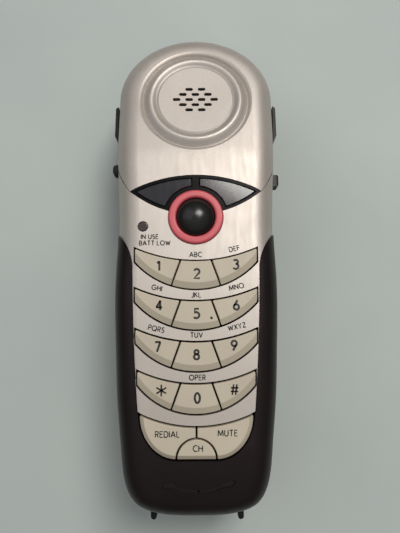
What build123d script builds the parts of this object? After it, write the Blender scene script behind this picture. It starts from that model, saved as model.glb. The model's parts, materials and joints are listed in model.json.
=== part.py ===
from build123d import *
import os
from math import cos, radians, sin, tan

# Cordless telephone: a handset lying face up in a low charging base.
# Frame: X across the handset, +Y towards the earpiece end, +Z up, all in millimetres.
# The origin is on the supporting surface, under the centre of the base's footprint.

# ---------------------------------------------------------------- driving dimensions
HANDSET_BACK = 21.5          # lowest face of the handset in its cradle
HANDSET_FRONT = 52.5         # flat keypad face
PARTING = 38.0               # height where front and rear shells meet
SEAM = 0.1                   # half the visible gap between two neighbouring shells
WALL = 2.0                   # shell thickness
SHOULDER_RADIUS = 8.0        # front edge rounding
BACK_RADIUS = 6.0            # back edge rounding
TALL = 60.0                  # anything tall enough to pass through the handset

# Plan outline: a half ellipse at the earpiece end, then one smooth flank down to the chin.
EAR_END_Y = 63.0
EAR_END_REACH = 25.2
FLANK = [
    (28.6, EAR_END_Y),
    (28.6, 46.0),
    (27.9, 29.0),
    (27.4, 15.5),
    (27.4, 8.0),
    (27.9, -3.0),
    (28.0, -14.0),
    (27.45, -30.0),
    (26.5, -48.0),
    (25.05, -63.0),
    (24.0, -72.0),
    (20.5, -79.5),
    (12.5, -83.0),
    (0.0, -83.8),
]

# Side profile of the front: flat keypad, earpiece end tipped back, chin rolled down.
BEND_Y = 33.0
BEND_RADIUS = 57.0
EAR_TILT = 8.0
CHIN_Y = -60.0
CHIN_RADIUS = 60.0
CHIN_ANGLE = 24.0
PROFILE_REACH = 110.0

# Earpiece, on the tipped-back face
EAR_Y = 60.2
EAR_VALLEY_RADIUS = 20.6
EAR_CREST_RADIUS = 16.2
EAR_DISC_RADIUS = 13.9
EAR_DISH = 0.35
EAR_SKIN = 1.1
EAR_SKIN_RADIUS = 11.4
SLOT_LENGTH = 2.8
SLOT_WIDTH = 1.25
SLOT_PITCH_X = 4.55
SLOT_PITCH_Y = 2.15
SLOT_ROWS = [2, 3, 4, 3, 2]

# Eye-shaped opening with its two keys, and the round talk key below its centre
EYE_CORNER = (22.85, 24.7)
EYE_TOP = 30.4
EYE_BOTTOM = 16.3
EYE_RIM = 0.95
EYE_POST_HALF = 1.15
TALK_Y = 15.4
RING_OUTER = 9.45
RING_INNER = 6.75
RING_TOP = HANDSET_FRONT + 1.1
COLLAR_RADIUS = 10.9
DOME_RADIUS = 6.5
DOME_SPHERE = 8.3
LENS_X = -18.1
LENS_Y = 12.2
LENS_RADIUS = 1.75

# Keypad: rows of three keys between two arcs that sag towards the chin
ROW_PITCH = 13.6
ROW_FIRST_TOP = 0.0
ROW_TOP_SAGS = [4.3, 4.3, 4.3, 4.3, 4.0]
ROW_HEIGHT = 9.25
ROW_SIDE_HEIGHT = 4.3
ROW_HALF_WIDTHS = [20.6, 20.45, 20.1, 19.3, 18.4]
DIVIDER_TOP_X = 5.35
DIVIDER_ANGLE = 20.0
CORNER_RISE = 1.5            # how far a row's corners move for each unit that its outline grows
CORNER_FALL = 0.4
KEY_GAP = 0.6
KEY_PROUD = 0.9
KEY_TOP = HANDSET_FRONT + KEY_PROUD
KEY_FOOT = 48.2
KEY_SLOPE_IN = 2.0
KEY_SLOPE_DOWN = 1.15
KEY_EDGE = 0.3
FUNCTION_SLOPE_IN = 1.3
KEY_NAMES = [
    ["key_1", "key_2", "key_3"],
    ["key_4", "key_5", "key_6"],
    ["key_7", "key_8", "key_9"],
    ["key_star", "key_0", "key_hash"],
]
FUNCTION_TOP = ROW_FIRST_TOP - 4 * ROW_PITCH
FUNCTION_BOTTOM = -64.1
FUNCTION_FLAT_HALF = 6.4
CHANNEL_RADIUS = 6.2

# Silver panel edge and the black horns of the grip
PANEL_TOP = (21.6, -1.0)
PANEL_MIDDLE = (20.8, -25.5)
PANEL_FOOT = (19.2, -49.4)
STRIP_HIGH_Y = 1.0
STRIP_LOW_Y = -47.0
STRIP_INNER = 0.6
STRIP_OUTER = 1.3
STRIP_THICKNESS = 0.9
HORN_MIDDLE = (24.3, 6.5)
HORN_TIP = (29.6, 12.0)
GRIP_PROUD = 0.5
GRIP_GROW = 0.35

# Seam of the earpiece cover where it leaves the eye corner and climbs the flank
SEAM_MIDDLE = (26.9, 31.5)
SEAM_END = (29.6, 44.5)

# Side fittings, at the parting height
JACK_Y = 36.8
JACK_FACE_X = -28.4
SWITCH_Y = 32.2
SWITCH_FACE_X = 28.4
SWITCH_TRAVEL = 2.5
STEM_HALF = 1.05
STEM_GAP = 1.5
JACK_HOLE_RADIUS = 2.6

# Battery bay in the back
BAY_HALF_WIDTH = 16.9
BAY_LOW_Y = -63.0
BAY_HIGH_Y = -16.0
BAY_TOP = 35.6
BAY_WALL = 1.4
DOOR_TRAVEL = 7.0
DOOR_GAP = 0.2
CELL_RADIUS = 5.25
CELL_LENGTH = 44.5
CELL_PITCH = 10.4

# Screws of the handset: (x, y)
HANDSET_SCREWS = [(20.0, 43.0), (-20.0, 43.0), (16.5, -73.9), (-16.5, -73.9)]
SHANK_RADIUS = 1.1
HEAD_RADIUS = 2.2
POST_RADIUS = 2.3

# Base
FOOT_HEIGHT = 2.0
FLOOR_TOP = 4.0
DECK_UNDER = 19.0
RIM_TOP = 27.0
BASE_WALL = 2.2
BASE_FLOOR_SCALE = 1.1163
BASE_FLOOR_CENTRE = 21.1
BASE_RIM_SCALE = 1.06
BASE_RIM_CENTRE = -21.0
CRADLE_SIDE_GAP = 0.45
CRADLE_FLOOR_GAP = 0.3
EAR_ARM = [(28.8, 46.8), (30.3, 49.2), (30.1, 60.2), (28.8, 61.0)]
EAR_ARM_TOP = 42.0
PRONG_X = 15.6
PRONG_WIDTH = 2.1
PRONG_START_Y = -84.0
PRONG_END_Y = -90.0
PRONG_FOOT = 13.0
PRONG_TOP = 31.0
CONTACT_X = 8.0
CONTACT_Y = -75.5
CONTACT_HALF = (2.5, 1.5)
BASE_SCREWS = [(24.0, 68.0), (-24.0, 68.0), (23.0, -55.0), (-23.0, -55.0)]
FEET = [(21.0, 76.0), (-21.0, 76.0), (19.0, -76.0), (-19.0, -76.0)]
BOARD_UNDER = 7.0
BOARD_TOP = 8.6
JACK_FACE_Y = 88.4
PAGE_Y = 91.6
LIGHT = (10.5, 90.2)
LIGHT_RADIUS = 1.25
LINE_JACK_X = (3.2, 14.6)
LINE_SOCKET_X = (4.1, 13.7)
POWER_JACK_X = (-14.0, -5.0)


# ---------------------------------------------------------------- shared geometry
def save(part, name):
    """Label one finished piece and write it as its own file."""
    part.label = name
    export_step(part, f"parts/{name}.step")


def moved_in(points, inset):
    """Points of an open flank, moved in by inset square to the local direction."""
    moved = []
    last = len(points) - 1
    for index, (x, y) in enumerate(points):
        if index == 0:
            along = Vector(0, -1)
        elif index == last:
            along = Vector(-1, 0)
        else:
            before = Vector(*points[index - 1])
            after = Vector(*points[index + 1])
            along = (after - before).normalized()
        moved.append((x + along.Y * inset, y - along.X * inset))
    return moved


def handset_outline(inset=0.0, scale=1.0, centre_y=0.0):
    """Plan outline of the handset as a face, optionally scaled about (0, centre_y)."""

    def placed(x, y):
        return (x * scale, centre_y + (y - centre_y) * scale)

    flank = [placed(x, y) for x, y in FLANK]
    flank = moved_in(flank, inset)
    mirrored = [(-x, y) for x, y in flank]
    end_x, end_y = flank[0]
    reach = EAR_END_REACH * scale - inset
    with BuildSketch() as outline:
        with BuildLine():
            EllipticalCenterArc((0, end_y), end_x, reach, 0, arc_size=180)
            Spline(flank, tangents=[(0, -1), (-1, 0)])
            Spline(mirrored, tangents=[(0, -1), (1, 0)])
        make_face()
    return outline.sketch


def side_profile(back, front):
    """Side view of the handset as a face: its first axis is Y and its second is Z."""
    with BuildSketch() as profile:
        with BuildLine():
            flat = Line((CHIN_Y, front), (BEND_Y, front))
            bend = JernArc(flat @ 1, (1, 0), BEND_RADIUS, -EAR_TILT)
            ear = PolarLine(bend @ 1, PROFILE_REACH, -EAR_TILT)
            chin = JernArc(flat @ 0, (-1, 0), CHIN_RADIUS, CHIN_ANGLE)
            fall = PolarLine(chin @ 1, PROFILE_REACH / 2, 180 + CHIN_ANGLE)
            Polyline(ear @ 1, ((ear @ 1).X, back), ((fall @ 1).X, back), fall @ 1)
        make_face()
    return profile.sketch


def is_rim(edge):
    """True for an edge around the outline, false for a crease that runs straight across."""
    middle = edge.center()
    return abs(middle.X) > 1 or abs(middle.Y) > 78


def handset_envelope(inset=0.0, back=HANDSET_BACK, front=HANDSET_FRONT, rounding=0.0):
    """Solid of the handset's outer form, all its edges rounded."""
    with BuildPart() as envelope:
        with BuildSketch(Plane.XY.offset(back)):
            add(handset_outline(inset))
        extrude(amount=TALL)
        with BuildSketch(Plane.YZ):
            add(side_profile(back, front))
        extrude(amount=TALL, both=True, mode=Mode.INTERSECT)
        sides = envelope.edges().filter_by(Axis.Z, reverse=True)
        front_rim = sides.filter_by(lambda edge: edge.center().Z > back + 5).filter_by(is_rim)
        fillet(front_rim, SHOULDER_RADIUS + rounding)
        back_rim = envelope.faces().sort_by(Axis.Z)[0].edges()
        fillet(back_rim, BACK_RADIUS + rounding)
    return envelope.part


def prism(face, low, high):
    """Solid over a plan face between two heights."""
    with BuildPart() as solid:
        with BuildSketch(Plane.XY.offset(low)):
            add(face)
        extrude(amount=high - low)
    return solid.part


def block(x_low, x_high, y_low, y_high, z_low, z_high):
    """Plain box between two corners."""
    with BuildPart() as solid:
        with BuildSketch(Plane.XY.offset(z_low)):
            with Locations(((x_low + x_high) / 2, (y_low + y_high) / 2)):
                Rectangle(x_high - x_low, y_high - y_low)
        extrude(amount=z_high - z_low)
    return solid.part


def rod(x, y, radius, z_low, z_high):
    """Upright round bar."""
    with BuildPart() as solid:
        with BuildSketch(Plane.XY.offset(z_low)):
            with Locations((x, y)):
                Circle(radius)
        extrude(amount=z_high - z_low)
    return solid.part


def both_sides(points):
    """Points followed by their mirror images in reverse order."""
    return list(points) + [(-x, y) for x, y in reversed(points)]


def cover_region(grow):
    """Plan area of the earpiece cover: above the eye and the seams that climb the flanks."""
    corner = (EYE_CORNER[0], EYE_CORNER[1] - grow)
    middle = (SEAM_MIDDLE[0] + 0.8 * grow, SEAM_MIDDLE[1] - 0.6 * grow)
    end_x, end_y = SEAM_END[0], SEAM_END[1] - grow
    far = 50.0
    with BuildSketch() as region:
        with BuildLine():
            ThreePointArc((-corner[0], corner[1]), (0, EYE_TOP - grow), corner)
            for side in (1, -1):
                ThreePointArc(
                    (side * corner[0], corner[1]),
                    (side * middle[0], middle[1]),
                    (side * end_x, end_y),
                )
            Polyline(*both_sides([(end_x, end_y), (far, end_y), (far, 2 * far)]))
        make_face()
    return region.sketch


def grip_region(grow):
    """Plan area of the black grip: two horns, the rails beside the keys and the chin."""
    foot = (PANEL_FOOT[0] - grow, PANEL_FOOT[1] + grow)
    middle = (PANEL_MIDDLE[0] - grow, PANEL_MIDDLE[1])
    top = (PANEL_TOP[0] - grow, PANEL_TOP[1])
    horn = (HORN_MIDDLE[0] - 0.8 * grow, HORN_MIDDLE[1] + 0.6 * grow)
    tip = (HORN_TIP[0] - 0.6 * grow, HORN_TIP[1] + 0.8 * grow)
    far = 50.0
    with BuildSketch() as region:
        with BuildLine():
            ThreePointArc((-foot[0], foot[1]), (0, FUNCTION_TOP + grow), foot)
            for side in (1, -1):
                rail = [(side * x, y) for x, y in (foot, middle, top)]
                edge = [(side * x, y) for x, y in (top, horn, tip)]
                ThreePointArc(*rail)
                ThreePointArc(*edge)
            Polyline(*both_sides([tip, (far, tip[1]), (far, -2 * far)]))
        make_face()
    return region.sketch


def panel_strip(grow):
    """Thin strips of the silver panel that run under the rails and tie its bands together."""
    high_y = STRIP_HIGH_Y + grow
    low_y = STRIP_LOW_Y - grow
    edge = [(PANEL_TOP[0], high_y), PANEL_MIDDLE, (PANEL_FOOT[0], low_y)]
    inside = [(x - STRIP_INNER - grow, y) for x, y in edge]
    outside = [(x + STRIP_OUTER + grow, y) for x, y in reversed(edge)]
    with BuildPart() as strip:
        with BuildSketch(Plane.XY.offset(HANDSET_FRONT - WALL - grow)):
            for side in (1, -1):
                Polygon(*[(side * x, y) for x, y in inside + outside], align=None)
        extrude(amount=STRIP_THICKNESS + 2 * grow)
    return strip.part


def eye_lens(inset):
    """Pointed oval between the eye's two arcs."""
    corner_x, corner_y = EYE_CORNER
    with BuildSketch() as lens:
        with BuildLine():
            ThreePointArc((-corner_x, corner_y), (0, EYE_TOP), (corner_x, corner_y))
            ThreePointArc((-corner_x, corner_y), (0, EYE_BOTTOM), (corner_x, corner_y))
        make_face()
        if inset:
            offset(amount=-inset, kind=Kind.INTERSECTION, mode=Mode.REPLACE)
    return lens.sketch


def row_corners(row, grow):
    """Upper and lower corner of a row's right end, and the heights of its arcs on the centre line."""
    half = ROW_HALF_WIDTHS[row] + grow
    top = ROW_FIRST_TOP - row * ROW_PITCH
    shoulder = top + ROW_TOP_SAGS[row]
    upper = (half, shoulder + CORNER_RISE * grow)
    lower = (half, shoulder - ROW_SIDE_HEIGHT - CORNER_FALL * grow)
    return upper, lower, top + grow, top - ROW_HEIGHT - grow


def row_face(row, grow=0.0):
    """One row of three keys as a single face, bounded by its two sagging arcs."""
    upper, lower, top_y, bottom_y = row_corners(row, grow)
    with BuildSketch() as face:
        with BuildLine():
            ThreePointArc((-upper[0], upper[1]), (0, top_y), upper)
            Line(upper, lower)
            ThreePointArc(lower, (0, bottom_y), (-lower[0], lower[1]))
            Line((-lower[0], lower[1]), (-upper[0], upper[1]))
        make_face()
    return face.sketch


def function_face(grow=0.0):
    """The bottom group of three function keys as a single bowl-shaped face."""
    upper, _, top_y, _ = row_corners(4, grow)
    flat = FUNCTION_FLAT_HALF
    low_y = FUNCTION_BOTTOM - grow
    reach = upper[0] - flat
    depth = upper[1] - low_y
    with BuildSketch() as face:
        with BuildLine():
            ThreePointArc((-upper[0], upper[1]), (0, top_y), upper)
            Line((-flat, low_y), (flat, low_y))
            for side, start in ((1, 270), (-1, 180)):
                EllipticalCenterArc((side * flat, upper[1]), reach, depth, start, arc_size=90)
        make_face()
    return face.sketch


def column_face(row, column):
    """Plan area of one key column in a row: 0 left, 1 middle, 2 right."""
    top = ROW_FIRST_TOP - row * ROW_PITCH
    reach = 12.0
    lean = tan(radians(DIVIDER_ANGLE))
    gap = KEY_GAP / 2 * (-1 if column == 1 else 1)
    high_x = DIVIDER_TOP_X - reach * lean + gap
    low_x = DIVIDER_TOP_X + (reach + ROW_HEIGHT) * lean + gap
    high_y = top + reach
    low_y = top - ROW_HEIGHT - reach
    far = 40.0
    with BuildSketch() as face:
        if column == 1:
            Polygon((high_x, high_y), (low_x, low_y), (-low_x, low_y), (-high_x, high_y), align=None)
        else:
            side = column - 1
            corners = [(high_x, high_y), (low_x, low_y), (far, low_y), (far, high_y)]
            Polygon(*[(side * x, y) for x, y in corners], align=None)
    return face.sketch


# ---------------------------------------------------------------- handset shells
def earpiece_plane():
    """Plane on the tipped-back face with its origin at the earpiece centre."""
    tilt = radians(EAR_TILT)
    straight_y = BEND_Y + BEND_RADIUS * sin(tilt)
    drop = BEND_RADIUS * (1 - cos(tilt)) + (EAR_Y - straight_y) * tan(tilt)
    return Plane(origin=(0, EAR_Y, HANDSET_FRONT - drop), x_dir=(1, 0, 0), z_dir=(0, sin(tilt), cos(tilt)))


def earpiece_relief(ear):
    """Round valley, raised ring and dished disc, turned about the earpiece's axis."""
    section = Plane(origin=ear.origin, x_dir=ear.x_dir, z_dir=ear.x_dir.cross(ear.z_dir))
    disc_edge = (EAR_DISC_RADIUS - 0.5, -0.05)
    groove = (EAR_DISC_RADIUS + 0.1, -0.35)
    ring_foot = (EAR_DISC_RADIUS + 0.7, -0.05)
    with BuildPart() as relief:
        with BuildSketch(section):
            with BuildLine():
                Spline((0, -EAR_DISH), disc_edge, tangents=[(1, 0), (1, 0.03)])
                Polyline(disc_edge, groove, ring_foot)
                Spline(
                    ring_foot,
                    (EAR_CREST_RADIUS, 0.7),
                    (17.8, -0.15),
                    (19.2, -1.15),
                    (EAR_VALLEY_RADIUS, 0.0),
                    tangents=[(1, 0.8), (1, 0.35)],
                )
                Polyline(
                    (EAR_VALLEY_RADIUS, 0.0),
                    (EAR_VALLEY_RADIUS, -WALL),
                    (EAR_SKIN_RADIUS, -WALL),
                    (EAR_SKIN_RADIUS, -EAR_SKIN),
                    (0, -EAR_SKIN),
                    (0, -EAR_DISH),
                )
            make_face()
        revolve(axis=Axis(ear.origin, ear.z_dir))
    return relief.part


def earpiece_slots():
    """Positions of the earpiece slots in the earpiece plane."""
    places = []
    for row, count in enumerate(SLOT_ROWS):
        y = (len(SLOT_ROWS) // 2 - row) * SLOT_PITCH_Y
        for column in range(count):
            places.append(((column - (count - 1) / 2) * SLOT_PITCH_X, y))
    return places


def make_upper_cover(outer, inner, ear):
    """Silver cover of the earpiece end, with the earpiece and two screw posts."""
    high = HANDSET_FRONT + 5
    with BuildPart() as cover:
        add(outer)
        add(inner, mode=Mode.SUBTRACT)
        add(prism(cover_region(-SEAM), PARTING + SEAM, high), mode=Mode.INTERSECT)
        with BuildSketch(ear.offset(-5)):
            Circle(EAR_VALLEY_RADIUS)
        extrude(amount=12, mode=Mode.SUBTRACT)
        add(earpiece_relief(ear))
        with BuildSketch(ear.offset(-5)):
            with Locations(*earpiece_slots()):
                SlotOverall(SLOT_LENGTH, SLOT_WIDTH)
        extrude(amount=10, mode=Mode.SUBTRACT)
        crack_radius = EAR_CREST_RADIUS + 0.1
        with BuildSketch(ear.offset(-0.4)):
            SlotArc(CenterArc((0, 0), crack_radius, 205, 130), 0.24)
        extrude(amount=5, mode=Mode.SUBTRACT)
        for x, y in HANDSET_SCREWS[:2]:
            add(rod(x, y, POST_RADIUS, PARTING + SEAM, HANDSET_FRONT - 2.2))
            add(rod(x, y, SHANK_RADIUS + 0.05, PARTING, 47.0), mode=Mode.SUBTRACT)
        add(side_jack_bore(), mode=Mode.SUBTRACT)
        add(side_switch_slot(), mode=Mode.SUBTRACT)
    save(cover.part, "upper_cover")


def side_jack_bore():
    """Round hole through the left flank for the headset plug."""
    with BuildPart() as bore:
        with BuildSketch(Plane.YZ.offset(-31)):
            with Locations((JACK_Y, PARTING)):
                Circle(JACK_HOLE_RADIUS)
        extrude(amount=7)
    return bore.part


def side_switch_slot():
    """Slot through the right flank for the ringer switch's stem."""
    low_y = SWITCH_Y - STEM_HALF - STEM_GAP
    high_y = SWITCH_Y + STEM_HALF + SWITCH_TRAVEL + STEM_GAP
    half_height = 1.1
    return block(24.5, 31, low_y, high_y, PARTING - half_height, PARTING + half_height)


def make_front_housing(outer, inner):
    """Silver middle of the front, from the flanks beside the eye down between the key rows."""
    high = HANDSET_FRONT + 5
    low = PARTING - 1
    with BuildPart() as housing:
        add(outer)
        add(inner, mode=Mode.SUBTRACT)
        add(block(-50, 50, -100, 100, PARTING + SEAM, high), mode=Mode.INTERSECT)
        add(prism(cover_region(SEAM), low, high), mode=Mode.SUBTRACT)
        add(prism(grip_region(SEAM), low, high), mode=Mode.SUBTRACT)
        add(panel_strip(0))
        add(prism(eye_lens(0), low, high), mode=Mode.SUBTRACT)
        add(rod(0, TALK_Y, RING_OUTER + 0.15, low, high), mode=Mode.SUBTRACT)
        add(rod(LENS_X, LENS_Y, LENS_RADIUS + 0.1, low, high), mode=Mode.SUBTRACT)
        for row in range(4):
            add(prism(row_face(row, KEY_GAP), low, high), mode=Mode.SUBTRACT)
        add(prism(function_face(KEY_GAP), low, high), mode=Mode.SUBTRACT)
        add(side_jack_bore(), mode=Mode.SUBTRACT)
        add(side_switch_slot(), mode=Mode.SUBTRACT)
    save(housing.part, "front_housing")


def make_grip_shell(inner):
    """Black grip around the lower front: horns, rails, chin and the microphone groove."""
    outer = handset_envelope(-GRIP_GROW, HANDSET_BACK - 2, HANDSET_FRONT + GRIP_PROUD, 0.2)
    high = HANDSET_FRONT + 5
    smile_floor = 50.9
    port = (0.5, -74.3)
    with BuildPart() as grip:
        add(outer)
        add(inner, mode=Mode.SUBTRACT)
        add(prism(grip_region(-SEAM), PARTING + SEAM, high), mode=Mode.INTERSECT)
        add(panel_strip(SEAM), mode=Mode.SUBTRACT)
        for row in range(4):
            add(prism(row_face(row, KEY_GAP), PARTING - 1, high), mode=Mode.SUBTRACT)
        add(prism(function_face(KEY_GAP), PARTING - 1, high), mode=Mode.SUBTRACT)
        with BuildSketch(Plane.XY.offset(smile_floor)):
            smile = ThreePointArc((-8.4, -72.4), port, (9.4, -72.2), mode=Mode.PRIVATE)
            SlotArc(smile, 1.2)
            with Locations(Location((-8.8, -72.3), 10), Location((10.3, -71.8), 20)):
                Ellipse(2.3, 1.2)
        extrude(amount=8, mode=Mode.SUBTRACT)
        add(rod(*port, 0.35, 44, high), mode=Mode.SUBTRACT)
        for x, y in HANDSET_SCREWS[2:]:
            add(rod(x, y, POST_RADIUS, PARTING + SEAM, HANDSET_FRONT - 2.2))
            add(rod(x, y, SHANK_RADIUS + 0.05, PARTING, 47.0), mode=Mode.SUBTRACT)
    save(grip.part, "grip_shell")


def contact_plate(side, low):
    """Flat charging plate on one side, from the height low up to its inner face."""
    x = side * CONTACT_X
    half_x, half_y = CONTACT_HALF
    return block(x - half_x, x + half_x, CONTACT_Y - half_y, CONTACT_Y + half_y, low, HANDSET_BACK + 0.7)


def cross_slot(x, y, half_length, low, high):
    """Cross-shaped driver recess of a screw head."""
    with BuildPart() as recess:
        with BuildSketch(Plane.XY.offset(low)):
            with Locations((x, y)):
                Rectangle(2 * half_length, 0.6)
                Rectangle(0.6, 2 * half_length)
        extrude(amount=high - low)
    return recess.part


def make_rear_housing(outer, inner):
    """Back half of the handset, with the battery bay and the recess that its door slides over."""
    half = BAY_HALF_WIDTH
    outer_half = half + BAY_WALL
    bay_low = BAY_LOW_Y - BAY_WALL
    bay_high = BAY_HIGH_Y + BAY_WALL
    recess_low = BAY_LOW_Y - DOOR_TRAVEL - 1.0
    inside = HANDSET_BACK + WALL
    root = inside - 0.5
    below = HANDSET_BACK - 3
    with BuildPart() as rear:
        add(outer)
        add(inner, mode=Mode.SUBTRACT)
        add(block(-50, 50, -100, 100, below, PARTING - SEAM), mode=Mode.INTERSECT)
        add(block(-outer_half, outer_half, bay_low, bay_high, root, BAY_TOP + BAY_WALL))
        add(block(-outer_half, outer_half, recess_low - BAY_WALL, BAY_LOW_Y, root, inside + BAY_WALL))
        for x, y in HANDSET_SCREWS:
            add(rod(x, y, POST_RADIUS + 0.5, root, PARTING - SEAM))
        add(block(-half, half, BAY_LOW_Y, BAY_HIGH_Y, below, BAY_TOP), mode=Mode.SUBTRACT)
        add(block(-half, half, recess_low, BAY_LOW_Y, below, inside), mode=Mode.SUBTRACT)
        for x, y in HANDSET_SCREWS:
            add(rod(x, y, HEAD_RADIUS + 0.15, below, HANDSET_BACK + 2.5), mode=Mode.SUBTRACT)
            add(rod(x, y, SHANK_RADIUS + 0.3, below, PARTING + 1), mode=Mode.SUBTRACT)
        for side in (1, -1):
            add(contact_plate(side, below), mode=Mode.SUBTRACT)
        add(side_jack_bore(), mode=Mode.SUBTRACT)
        add(side_switch_slot(), mode=Mode.SUBTRACT)
    save(rear.part, "rear_housing")


# ---------------------------------------------------------------- keys and trim
def long_top_edges(key):
    """The long edges around a key's flat top, the one nearest the chin first."""
    top = key.faces().sort_by(Axis.Z)[-1]
    return top.edges().filter_by(lambda edge: edge.length > 4.0).sort_by(Axis.Y)


def finish_key(key, chin_edge, slope_in):
    """Slope the key's chin-side edge, round its upright corners and soften its top."""
    top = key.faces().sort_by(Axis.Z)[-1]
    chamfer(chin_edge, length=slope_in, length2=KEY_SLOPE_DOWN, reference=top)
    fillet(key.edges().filter_by(Axis.Z), KEY_EDGE)
    fillet(key.faces().sort_by(Axis.Z)[-1].edges(), KEY_EDGE)


def make_digit_keys():
    """Twelve keys in four rows."""
    for row, names in enumerate(KEY_NAMES):
        for column, name in enumerate(names):
            with BuildPart() as key:
                with BuildSketch(Plane.XY.offset(KEY_FOOT)):
                    add(row_face(row))
                    add(column_face(row, column), mode=Mode.INTERSECT)
                extrude(amount=KEY_TOP - KEY_FOOT)
                finish_key(key, long_top_edges(key)[0], KEY_SLOPE_IN)
            save(key.part, name)


def make_function_keys():
    """Redial and mute either side of the half-round channel key."""
    half_gap = KEY_GAP / 2
    far = 40.0
    for name, side in (("key_redial", -1), ("key_mute", 1)):
        with BuildPart() as key:
            with BuildSketch(Plane.XY.offset(KEY_FOOT)):
                add(function_face())
                with Locations((side * (far / 2 + half_gap), FUNCTION_BOTTOM)):
                    Rectangle(far, 2 * far, mode=Mode.INTERSECT)
                with Locations((0, FUNCTION_BOTTOM)):
                    Circle(CHANNEL_RADIUS + KEY_GAP, mode=Mode.SUBTRACT)
            extrude(amount=KEY_TOP - KEY_FOOT)
            finish_key(key, long_top_edges(key)[0], FUNCTION_SLOPE_IN)
        save(key.part, name)
    with BuildPart() as key:
        with BuildSketch(Plane.XY.offset(KEY_FOOT)):
            with Locations((0, FUNCTION_BOTTOM)):
                Circle(CHANNEL_RADIUS)
            with Locations((0, FUNCTION_BOTTOM + far / 2)):
                Rectangle(far, far, mode=Mode.INTERSECT)
        extrude(amount=KEY_TOP - KEY_FOOT)
        finish_key(key, long_top_edges(key)[0], FUNCTION_SLOPE_IN)
    save(key.part, "key_channel")


def make_eye():
    """Black bezel with its centre post and collar, and the two glossy keys inside it."""
    foot = 49.4
    top = HANDSET_FRONT - 0.1
    far = 40.0
    with BuildPart() as bezel:
        with BuildSketch(Plane.XY.offset(foot)):
            add(eye_lens(SEAM))
            with BuildSketch(mode=Mode.SUBTRACT):
                add(eye_lens(EYE_RIM))
                with Locations((0, TALK_Y)):
                    Circle(COLLAR_RADIUS, mode=Mode.SUBTRACT)
                with Locations((0, TALK_Y + COLLAR_RADIUS)):
                    Rectangle(2 * EYE_POST_HALF, 2 * COLLAR_RADIUS, mode=Mode.SUBTRACT)
            with Locations((0, TALK_Y)):
                Circle(RING_OUTER + 0.15, mode=Mode.SUBTRACT)
        extrude(amount=top - foot)
    save(bezel.part, "eye_bezel")
    gap = 0.2
    for name, side in (("key_flash", -1), ("key_program", 1)):
        with BuildPart() as key:
            with BuildSketch(Plane.XY.offset(KEY_FOOT)):
                add(eye_lens(EYE_RIM + gap))
                with Locations((0, TALK_Y)):
                    Circle(COLLAR_RADIUS + gap, mode=Mode.SUBTRACT)
                with Locations((side * (far / 2 + EYE_POST_HALF + gap), TALK_Y)):
                    Rectangle(far, far, mode=Mode.INTERSECT)
            extrude(amount=HANDSET_FRONT + 0.1 - KEY_FOOT)
            top_face = key.faces().sort_by(Axis.Z)[-1]
            chamfer(top_face.edges(), length=0.3)
        save(key.part, name)


def make_talk_key():
    """Red ring fixed around a black dome that presses down."""
    section = Plane.XZ.offset(-TALK_Y)
    with BuildPart() as ring:
        with BuildSketch(section):
            with Locations(((RING_INNER + RING_OUTER) / 2, (49.0 + RING_TOP) / 2)):
                Rectangle(RING_OUTER - RING_INNER, RING_TOP - 49.0)
        revolve(axis=Axis((0, TALK_Y, 0), (0, 0, 1)))
        fillet(ring.faces().sort_by(Axis.Z)[-1].edges(), 0.8)
    save(ring.part, "talk_ring")
    shoulder = HANDSET_FRONT + 0.6
    rise = DOME_SPHERE - (DOME_SPHERE**2 - DOME_RADIUS**2) ** 0.5
    half_way = radians(0.5 * 51.5)
    crown = shoulder + rise
    middle = (DOME_SPHERE * sin(half_way), crown - DOME_SPHERE * (1 - cos(half_way)))
    with BuildPart() as dome:
        with BuildSketch(section):
            with BuildLine():
                ThreePointArc((0, crown), middle, (DOME_RADIUS, shoulder))
                Polyline((DOME_RADIUS, shoulder), (DOME_RADIUS, 48.4), (0, 48.4), (0, crown))
            make_face()
        revolve(axis=Axis((0, TALK_Y, 0), (0, 0, 1)))
    save(dome.part, "talk_key")


def make_status_light():
    """Small round lens beside the talk key, and the light-emitting diode under it."""
    with BuildPart() as lens:
        add(rod(LENS_X, LENS_Y, LENS_RADIUS, 50.0, HANDSET_FRONT + 0.1))
        fillet(lens.faces().sort_by(Axis.Z)[-1].edges(), 0.35)
    save(lens.part, "status_lens")
    with BuildPart() as diode:
        add(rod(LENS_X, LENS_Y, 1.45, 46.2, 49.6))
        fillet(diode.faces().sort_by(Axis.Z)[-1].edges(), 1.2)
    save(diode.part, "status_led")


# ---------------------------------------------------------------- side fittings
def make_headset_jack():
    """Round jack inside the left flank and the rubber cover that plugs it."""
    barrel_start = -25.9
    with BuildPart() as jack:
        with BuildSketch(Plane.YZ.offset(barrel_start)):
            with Locations((JACK_Y, PARTING)):
                Circle(3.0)
                Circle(1.35, mode=Mode.SUBTRACT)
        extrude(amount=12)
    save(jack.part, "headset_jack")
    with BuildPart() as cover:
        with BuildSketch(Plane.YZ.offset(JACK_FACE_X)):
            with Locations((JACK_Y, PARTING)):
                RectangleRounded(4.2, 6.0, 1.9)
        extrude(amount=-2.8)
        fillet(cover.faces().sort_by(Axis.X)[0].edges(), 1.3)
        with BuildSketch(Plane.YZ.offset(JACK_FACE_X)):
            with Locations((JACK_Y, PARTING)):
                Circle(1.15)
        extrude(amount=7.5)
    save(cover.part, "jack_cover")


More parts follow.
